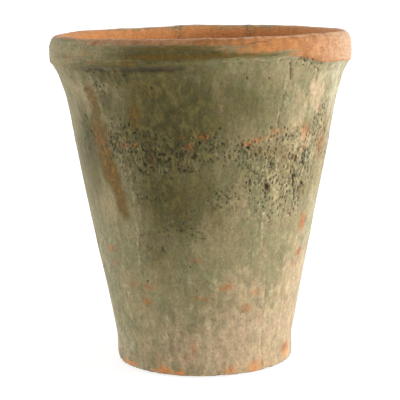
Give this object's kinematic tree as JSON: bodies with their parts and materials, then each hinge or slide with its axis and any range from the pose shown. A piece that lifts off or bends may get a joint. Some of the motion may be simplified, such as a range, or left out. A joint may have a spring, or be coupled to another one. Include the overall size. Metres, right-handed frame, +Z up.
{
  "type": "flower pot",
  "caption": "Tall flared terracotta rose pot with a rolled rim, a short upright foot and a round drain hole in its floor.",
  "frame": {"origin": "centre of the face that the pot rests on", "axes": "+Z up along the pot's axis, from the foot to the rim; -Y is the front and +X the right as seen from the front"},
  "size_m": [0.25, 0.25, 0.276],
  "materials": {
    "base_clay": "matt bare terracotta, worn orange at its lower edge",
    "wall_clay": "matt porous terracotta under a grey-green weathered patina, pitted",
    "rim_clay": "matt terracotta with throwing lines, partly under grey-green patina"
  },
  "bodies": {
    "root": {"base_slab": "base_clay", "wall": "wall_clay", "rim_coil": "rim_clay"}
  },
  "joints": []
}
